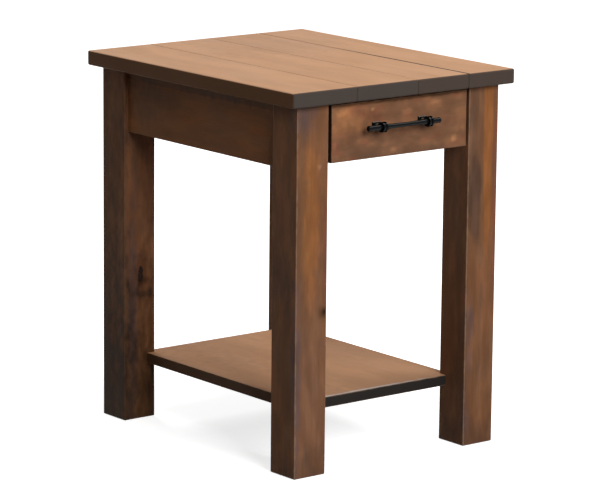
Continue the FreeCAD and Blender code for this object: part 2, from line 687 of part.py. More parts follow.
def tail_rows():
    """Rules for the root and end edges of each dovetail, from the bottom up."""
    pitch = f"Sizes.box_height / {TAIL_COUNT}"
    rows = []
    for number in range(TAIL_COUNT):
        middle = f"Places.box_low + {pitch} * ({2 * number + 1}) / 2"
        rows.append((f"{middle} - {pitch} * Sizes.tail_root_share / 2",
                     f"{middle} - {pitch} * Sizes.tail_wide_share / 2",
                     f"{middle} + {pitch} * Sizes.tail_wide_share / 2",
                     f"{middle} + {pitch} * Sizes.tail_root_share / 2"))
    return rows


def make_drawer_side(side):
    """A drawer side with dovetails at both ends and a stopped groove for the bottom."""
    label = "drawer_side_right" if side > 0 else "drawer_side_left"
    body = doc.addObject("PartDesign::Body", label)
    body.Label = label
    front, front_root = "Places.box_front", "Places.box_front_inner"
    back, back_root = "Places.box_back", "Places.box_back_inner"
    corners = [(front_root, "Places.box_low"), (back_root, "Places.box_low")]
    for low_root, low_end, high_end, high_root in tail_rows():
        corners += [(back_root, low_root), (back, low_end), (back, high_end), (back_root, high_root)]
    corners += [(back_root, "Places.box_high"), (front_root, "Places.box_high")]
    for low_root, low_end, high_end, high_root in reversed(tail_rows()):
        corners += [(front_root, high_root), (front, high_end), (front, low_end), (front_root, low_root)]
    base = mirrored(side, "Places.box_inner" if side > 0 else "Places.box_half")
    sketch = outline(body, label + "_profile", "YZ_Plane", base, corners)
    padded(body, sketch, "Sizes.box_wall")
    groove_x = [mirrored(side, "Places.box_inner - Sizes.overrun"),
                mirrored(side, "Places.box_inner + Sizes.groove_depth")]
    groove_y = ("Places.box_front_inner - Sizes.groove_depth", "Places.box_back_inner + Sizes.groove_depth")
    cut_block(body, label + "_groove", groove_x, groove_y, ("Places.groove_low", "Places.groove_high"))
    bored(label, body, ["slide_drawer_screws"])


def make_drawer_end(label, outer, inner, screws):
    """The front or back of the drawer box, with sockets for the sides' dovetails."""
    first, last = (outer, inner) if label == "drawer_box_front" else (inner, outer)
    body = block(label, ("-Places.box_half", "Places.box_half"), (first, last),
                 ("Places.box_low", "Places.box_high"))
    for side in (-1, 1):
        base = mirrored(side, "Places.box_inner" if side > 0 else "Places.box_half + Sizes.overrun")
        for number, (low_root, low_end, high_end, high_root) in enumerate(tail_rows()):
            corners = [(inner, low_root), (outer, low_end), (outer, high_end), (inner, high_root)]
            name = f"{label}_socket_{'right' if side > 0 else 'left'}_{number}"
            sketch = outline(body, name, "YZ_Plane", base, corners)
            pocketed(body, sketch, "Sizes.box_wall + Sizes.overrun")
    into = -1 if label == "drawer_box_front" else 1
    groove_y = (f"{inner} - ({into}) * Sizes.overrun", f"{inner} + ({into}) * Sizes.groove_depth")
    cut_block(body, label + "_groove", ("-Places.box_inner", "Places.box_inner"), groove_y,
              ("Places.groove_low", "Places.groove_high"))
    bored(label, body, screws)


def make_drawer_bottom():
    """The panel that lies in the box's grooves."""
    reach = "Sizes.groove_depth - Sizes.bottom_play"
    body = block("drawer_bottom", (f"-Places.box_inner - ({reach})", f"Places.box_inner + {reach}"),
                 (f"Places.box_front_inner - ({reach})", f"Places.box_back_inner + {reach}"),
                 ("Places.groove_low", "Places.groove_high"))
    bored("drawer_bottom", body, [])


def make_drawer_front():
    """The inset front, eased all round its face."""
    label = "drawer_front"
    body = block(label, ("-Places.front_half", "Places.front_half"), ("Places.leg_front", "Places.front_back"),
                 ("Places.front_low", "Places.front_high"))
    soften(body, "Fillet", "Radius", "Sizes.front_edge_round",
           lambda edge: near(edge.CenterOfMass.y, place("leg_front")))
    bored(label, body, ["drawer_front_screws", "pull_screws"])


# Pull

def make_pull():
    """The bar and its two posts."""
    left, right = bar_end(-1), bar_end(1)
    waist = Part.Arc(left[-1], FreeCAD.Vector(0, 0, size("pull_waist_radius")), right[-1])
    edges = [Part.makeLine(*pair) for pair in zip(left, left[1:])] + [waist.toShape()]
    edges += [Part.makeLine(*pair) for pair in zip(right[::-1], right[-2::-1])]
    edges += [Part.makeLine(right[0], left[0])]
    bar = doc.addObject("Part::Feature", "pull_bar")
    bar.Shape = Part.Face(Part.Wire(edges)).revolve(origin, x_way, 360)
    middle = FreeCAD.Vector(-size("pull_aside"), place("bar_y"), place("bar_z"))
    bar.Placement = FreeCAD.Placement(middle, FreeCAD.Rotation())
    bar.Label = "pull_bar"
    nodes["pull_bar"] = bar
    for side in (-1, 1):
        make_pull_post("pull_post_right" if side > 0 else "pull_post_left", side)


def bar_end(side):
    """Half profile of one end of the bar, from the middle of its tip to where the waist starts."""
    tip = side * size("pull_length") / 2 - size("pull_bar_aside")
    start = side * (size("pull_spacing") - size("pull_head_width")) / 2
    radius, bevel = size("pull_bar_radius"), size("pull_end_bevel")
    return [FreeCAD.Vector(tip, 0, 0), FreeCAD.Vector(tip, 0, radius - bevel),
            FreeCAD.Vector(tip - side * bevel, 0, radius), FreeCAD.Vector(start, 0, radius)]


def make_pull_post(label, side):
    """A foot on the drawer face, a neck, and a ringed head that the bar passes through."""
    x_value = mirrored(side, "Sizes.pull_spacing / 2") + " - Sizes.pull_aside"
    foot = doc.addObject("Part::Box", label + "_foot")
    foot.setExpression("Length", "Sizes.pull_foot_width")
    foot.setExpression("Width", "Sizes.pull_foot_thick")
    foot.setExpression("Height", "Sizes.pull_foot_height")
    foot.setExpression("Placement.Base.x", f"{x_value} - Sizes.pull_foot_width / 2")
    foot.setExpression("Placement.Base.y", "Places.leg_front - Sizes.pull_foot_thick")
    foot.setExpression("Placement.Base.z", "Places.bar_z - Sizes.pull_foot_height / 2")
    doc.recompute()
    eased = doc.addObject("Part::Chamfer", label + "_foot_eased")
    eased.Base = foot
    face_y = place("leg_front") - size("pull_foot_thick")
    bevel = size("pull_foot_bevel")
    eased.Edges = [(number, bevel, bevel) for number, edge in enumerate(foot.Shape.Edges, 1)
                   if near(edge.CenterOfMass.y, face_y)]
    neck = cylinder(label + "_neck", "Sizes.pull_neck_radius", "Sizes.pull_stand",
                    (x_value, "Places.leg_front", "Places.bar_z"), FreeCAD.Vector(0, -1, 0))
    width, ring = "Sizes.pull_head_width", "Sizes.pull_ring_width"
    head = cylinder(label + "_head", "Sizes.pull_head_radius", width,
                    (f"{x_value} - {width} / 2", "Places.bar_y", "Places.bar_z"), x_way)
    rings = []
    for number, start in enumerate((f"{x_value} - {width} / 2", f"{x_value} + {width} / 2 - {ring}")):
        rings.append(cylinder(f"{label}_ring_{number}", "Sizes.pull_ring_radius", ring,
                              (start, "Places.bar_y", "Places.bar_z"), x_way))
    solid = doc.addObject("Part::MultiFuse", label + "_solid")
    solid.Shapes = [eased, neck, head] + rings
    passage = cylinder(label + "_passage", "Sizes.pull_bar_radius + Sizes.pull_play",
                       "Sizes.pull_head_width + 2 * Sizes.overrun",
                       (f"{x_value} - {width} / 2 - Sizes.overrun", "Places.bar_y", "Places.bar_z"), x_way)
    thread = cylinder(label + "_thread", "Sizes.pull_screw_shank + Sizes.screw_play",
                      "Sizes.pull_thread_depth + Sizes.overrun",
                      (x_value, "Places.leg_front + Sizes.overrun", "Places.bar_z"), FreeCAD.Vector(0, -1, 0))
    holes = doc.addObject("Part::MultiFuse", label + "_holes")
    holes.Shapes = [passage, thread]
    cut = doc.addObject("Part::Cut", label)
    cut.Base = solid
    cut.Tool = holes
    cut.Label = label
    nodes[label] = cut


def cylinder(name, radius, height, where, way):
    """A cylinder whose sizes and place are bound to the sheets."""
    made = doc.addObject("Part::Cylinder", name)
    made.setExpression("Radius", radius)
    made.setExpression("Height", height)
    made.Placement = FreeCAD.Placement(origin, FreeCAD.Rotation(z_way, way))
    for axis, rule in zip("xyz", where):
        made.setExpression(f"Placement.Base.{axis}", rule)
    return made


# Slides: a space in from the leg face, and a height up from the slide's middle

def channel(label, side, span, corners):
    """A member of constant section along Y, drawn as (in from the leg face, up from the middle)."""
    body = doc.addObject("PartDesign::Body", label)
    body.Label = label
    bound = [(mirrored(side, f"Places.leg_inner - ({space})"), f"Places.slide_middle + ({up})")
             for space, up in corners]
    sketch = outline(body, label + "_section", "XZ_Plane", f"-({span[1]})", bound)
    padded(body, sketch, f"({span[1]}) - ({span[0]})")
    return body


def both_ways(half):
    """Close a section that is the same above and below its middle."""
    return [(space, f"-({up})") for space, up in half] + list(reversed(half))


def make_slide(side):
    """The three members of one slide, its two ball cages and their balls."""
    hand = "right" if side > 0 else "left"
    span = ("Places.slide_front", "Places.slide_back")
    metal, width = "Sizes.sheet_metal", "Sizes.outer_width"
    edge = "Sizes.slide_height / 2"
    lip = "Places.outer_race - Sizes.lip_reach"
    outer = [("0", edge), (width, edge), (width, lip), (f"{width} - {metal}", lip),
             (f"{width} - {metal}", "Places.outer_race"), (metal, "Places.outer_race")]
    body = channel(f"slide_outer_{hand}", side, span, both_ways(outer))
    bored(f"slide_outer_{hand}", body, ["slide_case_screws"])
    middle = [("Places.middle_base", "Places.middle_high"), ("Places.middle_tip", "Places.middle_high"),
              ("Places.middle_tip", "Places.middle_race"), (f"Places.middle_base + {metal}", "Places.middle_race")]
    body = channel(f"slide_middle_{hand}", side, span, both_ways(middle))
    bored(f"slide_middle_{hand}", body, [])
    space = "Sizes.slide_space"
    inner = [(space, "Places.inner_high"), ("Places.inner_tip", "Places.inner_high"),
             ("Places.inner_tip", f"Places.inner_high - {metal}"),
             (f"{space} - {metal}", f"Places.inner_high - {metal}")]
    body = channel(f"slide_inner_{hand}", side, span, both_ways(inner))
    bored(f"slide_inner_{hand}", body, ["slide_drawer_screws"])
    make_cage("outer", hand, side, "Places.middle_tip - Sizes.running_gap")
    make_cage("inner", hand, side, "Places.middle_tip")


def make_cage(row, hand, side, tip):
    """A ball cage of thin sheet, with a hole for each ball, and the balls."""
    base, up, metal = f"Places.{row}_cage_base", f"Places.{row}_ball_up", "Sizes.cage_metal"
    half = [(base, f"{up} + {metal} / 2"), (tip, f"{up} + {metal} / 2"),
            (tip, f"{up} - {metal} / 2"), (f"{base} + {metal}", f"{up} - {metal} / 2")]
    label = f"ball_cage_{row}_{hand}"
    body = channel(label, side, ("Places.cage_front", "Places.cage_back"), both_ways(half))
    radius, height = size(f"{row}_ball") / 2, place(f"{row}_ball_up")
    x_value = side * (place("leg_inner") - place(f"{row}_ball_in"))
    first = place("slide_y") - size("ball_pitch") * (BALL_COUNT - 1) / 2
    spots = [FreeCAD.Vector(x_value, first + size("ball_pitch") * number, place("slide_middle") + way * height)
             for number in range(BALL_COUNT) for way in (-1, 1)]
    balls = doc.addObject("Part::Feature", f"balls_{row}_{hand}")
    balls.Shape = Part.makeCompound([Part.makeSphere(radius, spot) for spot in spots])
    balls.Placement = FreeCAD.Placement()
    balls.Label = f"balls_{row}_{hand}"
    nodes[balls.Label] = balls
    hole = Part.makeCylinder(radius + size("ball_play"), 4 * size("cage_metal"),
                             FreeCAD.Vector(0, 0, -2 * size("cage_metal")))
    holes = doc.addObject("Part::Feature", label + "_holes")
    holes.Shape = Part.makeCompound([aimed(hole, spot, (0, 0, 1)) for spot in spots])
    fixings[label] = holes
    bored(label, body, [label])


# Build, check and write

place_screws()
make_top()
for side in (-1, 1):
    for front in (True, False):
        make_leg(side, front)
    make_side_apron(side)
    make_cleat(side)
    make_drawer_side(side)
    make_slide(side)
make_rear_apron()
make_front_rail()
make_top_clips()
make_shelf()
make_drawer_end("drawer_box_front", "Places.box_front", "Places.box_front_inner",
                ["drawer_front_screws", "pull_screws"])
make_drawer_end("drawer_box_back", "Places.box_back", "Places.box_back_inner", [])
make_drawer_bottom()
make_drawer_front()
make_pull()
doc.recompute()

faults = [f"{item.Name}: {item.State}" for item in doc.Objects if {"Invalid", "Error"} & set(item.State)]
for item in doc.Objects:
    if item.TypeId == "PartDesign::Pocket" and item.Shape.Volume >= item.BaseFeature.Shape.Volume:
        faults.append(f"{item.Name} cuts nothing")
for label, item in nodes.items():
    if item.Shape.isNull() or not item.Shape.isValid():
        faults.append(f"{label} has no valid shape")
    elif item.Label != label:
        faults.append(f"{label} is labelled {item.Label}")
if faults:
    raise RuntimeError("; ".join(faults))
for label, item in nodes.items():
    item.Shape.exportStep(f"parts/{label}.step")
print(f"{len(nodes)} sub-parts written")
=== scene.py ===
"""The rustic end table dressed for the studio: stained woods, black pull, plated slides, lights and camera.

Everything is in metres in the table's own frame: the floor is z = 0, X runs along the drawer front,
and the drawer opens towards -Y.
"""

import math

import bpy
from mathutils import Matrix, Vector


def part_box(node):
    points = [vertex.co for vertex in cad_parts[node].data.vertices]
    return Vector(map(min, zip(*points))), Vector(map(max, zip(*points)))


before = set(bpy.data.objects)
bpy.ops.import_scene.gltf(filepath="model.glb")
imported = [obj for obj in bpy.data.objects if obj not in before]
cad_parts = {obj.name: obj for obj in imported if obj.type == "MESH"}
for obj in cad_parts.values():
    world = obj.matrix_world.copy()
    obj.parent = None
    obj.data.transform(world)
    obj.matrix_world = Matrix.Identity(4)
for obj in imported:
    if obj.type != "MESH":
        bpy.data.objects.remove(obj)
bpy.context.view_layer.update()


# Short ways to build node trees

class Graph:
    """A node tree, with short ways to add nodes and to join them."""

    def __init__(self, tree):
        self.tree = tree

    def feed(self, socket, value):
        """Join an output to a socket, or set the socket's own value."""
        if isinstance(value, bpy.types.NodeSocket):
            self.tree.links.new(value, socket)
        elif socket.type == "RGBA":
            socket.default_value = (*value, 1)
        else:
            socket.default_value = value

    def node(self, kind, inputs=None, **settings):
        """Add a node. Inputs are given by name or by number."""
        made = self.tree.nodes.new(kind)
        for name, value in settings.items():
            setattr(made, name, value)
        for key, value in (inputs or {}).items():
            self.feed(made.inputs[key], value)
        return made

    def math(self, operation, *values):
        """A sum on single values."""
        return self.node("ShaderNodeMath", dict(enumerate(values)), operation=operation).outputs[0]

    def vector(self, operation, *values):
        """A sum on vectors."""
        return self.node("ShaderNodeVectorMath", dict(enumerate(values)), operation=operation).outputs[0]

    def length(self, vector):
        """The length of a vector."""
        return self.node("ShaderNodeVectorMath", {0: vector}, operation="LENGTH").outputs["Value"]

    def mix(self, amount, first, second, blend="MIX"):
        """Blend two colours."""
        inputs = {0: amount, 6: first, 7: second}
        return self.node("ShaderNodeMix", inputs, data_type="RGBA", blend_type=blend).outputs[2]

    def remap(self, value, low, high, new_low=0.0, new_high=1.0):
        """Move a value smoothly from one range to another, and hold it there."""
        inputs = {0: value, 1: low, 2: high, 3: new_low, 4: new_high}
        return self.node("ShaderNodeMapRange", inputs, interpolation_type="SMOOTHSTEP").outputs[0]

    def noise(self, where, scale, detail=2.0, roughness=0.5):
        """Noise stretched by a scale for each direction. Gives the value and the colour."""
        stretched = self.vector("MULTIPLY", where, scale)
        made = self.node("ShaderNodeTexNoise", {"Vector": stretched, "Scale": 1.0, "Detail": detail,
                                                "Roughness": roughness})
        return made.outputs[0], made.outputs[1]

    def split(self, vector):
        """The three parts of a vector."""
        return self.node("ShaderNodeSeparateXYZ", {0: vector}).outputs

    def join(self, x, y, z):
        """A vector from three values."""
        return self.node("ShaderNodeCombineXYZ", {0: x, 1: y, 2: z}).outputs[0]

    def group(self, tree, **inputs):
        """Place a group. An input's name has its spaces written as underscores."""
        made = self.node("ShaderNodeGroup", node_tree=tree)
        for name, value in inputs.items():
            self.feed(made.inputs[name.replace("_", " ")], value)
        return made.outputs


KINDS = {"value": "NodeSocketFloat", "vector": "NodeSocketVector", "colour": "NodeSocketColor"}


def new_group(name, inputs, outputs):
    """An empty group with named sockets. Gives its graph, its inputs and its outputs."""
    tree = bpy.data.node_groups.new(name, "ShaderNodeTree")
    for label, kind, start in inputs:
        made = tree.interface.new_socket(label, in_out="INPUT", socket_type=KINDS[kind])
        made.default_value = (*start, 1) if kind == "colour" else start
    for label, kind in outputs:
        tree.interface.new_socket(label, in_out="OUTPUT", socket_type=KINDS[kind])
    graph = Graph(tree)
    return graph, graph.node("NodeGroupInput").outputs, graph.node("NodeGroupOutput").inputs


# Effects that several finishes share

def make_log_figure():
    """Growth rings, fibres and pores of a log whose grain runs along the third direction."""
    graph, given, out = new_group(
        "log_figure",
        [("Board", "vector", (0, 0, 0)), ("Pith", "vector", (0.08, 0.03, 0)), ("Ring Width", "value", 0.004),
         ("Wander", "value", 0.02)],
        [("Bent Board", "vector"), ("Rings", "value"), ("Fibre", "value"), ("Pores", "value")])
    wander = graph.noise(given["Board"], (3.5, 3.5, 1.1), 2.0)[1]
    wander = graph.vector("SUBTRACT", wander, (0.5, 0.5, 0.5))
    scaling = {0: wander, "Scale": given["Wander"]}
    wander = graph.node("ShaderNodeVectorMath", scaling, operation="SCALE").outputs[0]
    bent = graph.vector("ADD", given["Board"], wander)
    across = graph.vector("MULTIPLY", graph.vector("SUBTRACT", bent, given["Pith"]), (1, 1, 0))
    years = graph.math("DIVIDE", graph.length(across), given["Ring Width"])
    drift = graph.noise(bent, (25, 25, 1.5), 2.0)[0]
    year = graph.math("FRACT", graph.math("ADD", years, graph.math("MULTIPLY", drift, 1.6)))
    rings = graph.math("MULTIPLY", graph.math("POWER", year, 2.6), graph.remap(year, 1.0, 0.9))
    fibre = graph.noise(bent, (620, 620, 9), 3.0, 0.6)[0]
    dashes = graph.noise(bent, (1300, 1300, 42), 1.0)[0]
    early = graph.remap(year, 0.75, 0.05, 0.25, 1.0)
    pores = graph.math("MULTIPLY", graph.remap(dashes, 0.60, 0.72), early)
    graph.feed(out["Bent Board"], bent)
    graph.feed(out["Rings"], rings)
    graph.feed(out["Fibre"], fibre)
    graph.feed(out["Pores"], pores)
    return graph.tree


def make_stained_board():
    """Wiped stain on a board: streaks, clouds and mottling in four colours over rings, fibres and pores."""
    graph, given, out = new_group(
        "stained_board",
        [("Board", "vector", (0, 0, 0)), ("Pith", "vector", (0.08, 0.03, 0)), ("Ring Width", "value", 0.004),
         ("Main Stain", "colour", (0.25, 0.103, 0.040)), ("Dark Stain", "colour", (0.13, 0.06, 0.03)),
         ("Warm Stain", "colour", (0.34, 0.12, 0.03)), ("Cool Stain", "colour", (0.18, 0.09, 0.046)),
         ("Streaks", "value", 0.6), ("Clouds", "value", 0.5), ("Mottling", "value", 0.5),
         ("Mottle Scale", "vector", (44, 44, 17)), ("Ring Contrast", "value", 0.15),
         ("Pore Contrast", "value", 0.3)],
        [("Color", "colour"), ("Height", "value"), ("Dullness", "value")])
    figure = graph.group(LOG_FIGURE, Board=given["Board"], Pith=given["Pith"], Ring_Width=given["Ring Width"])
    bent = figure["Bent Board"]
    streak, tone = graph.noise(bent, (38, 38, 2.2), 2.0, 0.45)
    cloud, hue = graph.noise(bent, (14, 14, 4.5), 3.0, 0.5)
    mottle, blush = graph.noise(bent, given["Mottle Scale"], 2.0, 0.45)
    tones, hues, blushes = graph.split(tone), graph.split(hue), graph.split(blush)
    colour = given["Main Stain"]
    warm = graph.math("MULTIPLY", graph.remap(streak, 0.49, 0.62), given["Streaks"])
    colour = graph.mix(warm, colour, given["Warm Stain"])
    cool = graph.math("MULTIPLY", graph.remap(tones[1], 0.50, 0.63), given["Streaks"])
    colour = graph.mix(cool, colour, given["Cool Stain"])
    dark = graph.math("MULTIPLY", graph.remap(cloud, 0.50, 0.68), given["Clouds"])
    colour = graph.mix(dark, colour, given["Dark Stain"])
    glow = graph.math("MULTIPLY", graph.remap(hues[2], 0.52, 0.70, 0.0, 0.6), given["Clouds"])
    colour = graph.mix(glow, colour, given["Warm Stain"])
    spots = graph.math("MULTIPLY", graph.remap(blushes[0], 0.52, 0.68, 0.0, 0.8), given["Mottling"])
    colour = graph.mix(spots, colour, given["Warm Stain"])
    smoky = graph.math("MULTIPLY", graph.remap(blushes[1], 0.52, 0.68, 0.0, 0.8), given["Mottling"])
    colour = graph.mix(smoky, colour, given["Cool Stain"])
    swing = graph.math("MULTIPLY", graph.remap(mottle, 0.3, 0.7, -0.24, 0.24), given["Mottling"])
    fibre = graph.remap(figure["Fibre"], 0.25, 0.75, -0.12, 0.10)
    grain = graph.math("MULTIPLY", fibre, given["Pore Contrast"])
    shade = graph.math("ADD", graph.math("ADD", swing, grain), 1.0)
    colour = graph.mix(1.0, colour, graph.join(shade, shade, shade), "MULTIPLY")
    clear = graph.remap(blushes[2], 0.38, 0.62, 0.25, 1.0)
    late = graph.math("MULTIPLY", graph.math("MULTIPLY", figure["Rings"], clear), given["Ring Contrast"])
    colour = graph.mix(late, colour, given["Dark Stain"])
    open_grain = graph.math("MULTIPLY", figure["Pores"], given["Pore Contrast"])
    colour = graph.mix(open_grain, colour, graph.mix(1.0, given["Dark Stain"], (0.6, 0.55, 0.5), "MULTIPLY"))
    height = graph.math("ADD", graph.math("MULTIPLY", figure["Fibre"], 0.5),
                        graph.math("MULTIPLY", figure["Rings"], 0.35))
    height = graph.math("SUBTRACT", height, graph.math("MULTIPLY", figure["Pores"], 0.8))
    dull = graph.math("ADD", graph.remap(cloud, 0.3, 0.7, -0.05, 0.05),
                      graph.math("MULTIPLY", figure["Pores"], 0.12))
    graph.feed(out["Color"], colour)
    graph.feed(out["Height"], height)
    graph.feed(out["Dullness"], dull)
    return graph.tree


def make_arris():
    """How near a point lies to the edges of a squared piece, from its lowest and highest corners."""
    graph, given, out = new_group(
        "arris",
        [("Place", "vector", (0, 0, 0)), ("Low", "vector", (0, 0, 0)), ("High", "vector", (1, 1, 1)),
         ("Width", "value", 0.003)],
        [("Edge", "value")])
    room = graph.vector("MINIMUM", graph.vector("SUBTRACT", given["Place"], given["Low"]),
                        graph.vector("SUBTRACT", given["High"], given["Place"]))
    x, y, z = graph.split(room)
    narrower, wider = graph.math("MINIMUM", x, y), graph.math("MAXIMUM", x, y)
    middle = graph.math("MAXIMUM", narrower, graph.math("MINIMUM", wider, z))
    ragged = graph.noise(given["Place"], (60, 60, 60), 3.0)[0]
    width = graph.math("MULTIPLY", given["Width"], graph.remap(ragged, 0.3, 0.75, 0.6, 1.4))
    edge = graph.math("SUBTRACT", 1.0, graph.math("DIVIDE", middle, width))
    graph.feed(out["Edge"], graph.remap(edge, 0.0, 1.0))
    return graph.tree


def make_patch():
    """A soft-edged egg-shaped place on a board, such as a wiped-on darker patch or a knot's halo, and also
    painted light and shade.
    """
    graph, given, out = new_group(
        "patch",
        [("Place", "vector", (0, 0, 0)), ("Centre", "vector", (0, 0, 0)),
         ("Reach", "vector", (0.02, 0.02, 0.1)), ("Softness", "value", 0.6), ("Raggedness", "value", 0.35)],
        [("Mask", "value")])
    away = graph.vector("DIVIDE", graph.vector("SUBTRACT", given["Place"], given["Centre"]), given["Reach"])
    ragged = graph.math("SUBTRACT", graph.noise(given["Place"], (62, 62, 30), 3.0)[0], 0.5)
    swing = graph.math("MULTIPLY", ragged, graph.math("MULTIPLY", given["Raggedness"], 4.0))
    distance = graph.math("ADD", graph.length(away), swing)
    inner = graph.math("SUBTRACT", 1.0, given["Softness"])
    graph.feed(out["Mask"], graph.remap(distance, 1.0, inner))
    return graph.tree


def make_knot():
    """A tight knot: a dark eye with a ring, and bark-brown smoke along the grain around it."""
    graph, given, out = new_group(
        "knot",
        [("Place", "vector", (0, 0, 0)), ("Centre", "vector", (0, 0, 0)),
         ("Reach", "vector", (0.006, 0.006, 0.01)), ("Color", "colour", (0.27, 0.12, 0.064))],
        [("Color", "colour"), ("Eye", "value")])
    away = graph.vector("DIVIDE", graph.vector("SUBTRACT", given["Place"], given["Centre"]), given["Reach"])
    wobble = graph.noise(given["Place"], (140, 140, 140), 2.0)[1]
    away = graph.vector("ADD", away, graph.vector("SUBTRACT", wobble, (0.5, 0.5, 0.5)))
    distance = graph.length(away)
    smoke = graph.remap(distance, 3.2, 0.8, 0.0, 0.75)
    eye = graph.remap(distance, 1.05, 0.75)
    heart = graph.remap(distance, 0.7, 0.3)
    colour = graph.mix(smoke, given["Color"], graph.mix(1.0, given["Color"], (0.42, 0.36, 0.34), "MULTIPLY"))
    colour = graph.mix(eye, colour, (0.016, 0.010, 0.008))
    colour = graph.mix(heart, colour, (0.028, 0.015, 0.010))
    graph.feed(out["Color"], colour)
    graph.feed(out["Eye"], eye)
    return graph.tree


def make_plating():
    """Drawn, plated sheet steel: fine lines along Y, cloudy spangle and small scuffs."""
    graph, given, out = new_group(
        "plating",
        [("Place", "vector", (0, 0, 0)), ("Bright", "colour", (0.62, 0.63, 0.64)),
         ("Cloudy", "colour", (0.42, 0.43, 0.44)), ("Smoothness", "value", 0.3)],
        [("Color", "colour"), ("Roughness", "value"), ("Height", "value")])
    lines = graph.noise(given["Place"], (2600, 30, 2600), 2.0)[0]
    clouds = graph.noise(given["Place"], (160, 70, 160), 4.0, 0.6)[0]
    scuffs = graph.noise(given["Place"], (900, 900, 900), 2.0)[0]
    colour = graph.mix(graph.remap(clouds, 0.38, 0.66), given["Bright"], given["Cloudy"])
    rough = graph.math("ADD", given["Smoothness"], graph.remap(clouds, 0.3, 0.7, -0.06, 0.10))
    rough = graph.math("ADD", rough, graph.remap(lines, 0.3, 0.7, -0.05, 0.07))
    graph.feed(out["Color"], colour)
    graph.feed(out["Roughness"], rough)
    graph.feed(out["Height"], graph.math("ADD", lines, graph.math("MULTIPLY", scuffs, 0.4)))
    return graph.tree


LOG_FIGURE = make_log_figure()
STAINED_BOARD = make_stained_board()
ARRIS = make_arris()
PATCH = make_patch()
KNOT = make_knot()
PLATING = make_plating()


# Woods

STAINS = {
    "brown": (0.235, 0.102, 0.047),
    "drawer brown": (0.250, 0.117, 0.060),
    "dark brown": (0.130, 0.062, 0.034),
    "orange": (0.325, 0.122, 0.040),
    "russet": (0.290, 0.128, 0.060),
    "apron brown": (0.300, 0.125, 0.050),
    "red brown": (0.250, 0.092, 0.050),
    "dusty brown": (0.240, 0.114, 0.062),
    "grey brown": (0.180, 0.094, 0.054),
    "purple grey": (0.165, 0.092, 0.070),
    "rubbed and highlit": (0.42, 0.26, 0.165),
    "painted edge highlight": (0.62, 0.56, 0.52),
    "amber": (0.440, 0.205, 0.095),
    "tan": (0.645, 0.355, 0.193),
    "light tan": (0.690, 0.385, 0.214),
    "dull tan": (0.550, 0.305, 0.174),
    "shelf painted light": (0.610, 0.320, 0.168),
    "shelf tan": (0.520, 0.275, 0.145),
    "dull shelf": (0.450, 0.240, 0.130),
    "umber": (0.100, 0.043, 0.017),
    "charcoal": (0.074, 0.056, 0.046),
    "cool charcoal": (0.071, 0.058, 0.051),
    "black brown": (0.040, 0.020, 0.011),
    "soot": (0.022, 0.020, 0.019),
    "maple": (0.62, 0.43, 0.25),
    "honey": (0.56, 0.34, 0.16),
    "dark maple": (0.40, 0.25, 0.13),
}

GRAIN = {"x": (1, 2, 0), "y": (2, 0, 1), "z": (0, 1, 2)}


def new_material(name):
    """A plain material. Gives the material, its graph, its shader and the places on the piece."""
    material = bpy.data.materials.new(name)
    material.use_nodes = True
    shader = material.node_tree.nodes["Principled BSDF"]
    graph = Graph(material.node_tree)
    coordinates = graph.node("ShaderNodeTexCoord").outputs
    return material, graph, shader, coordinates


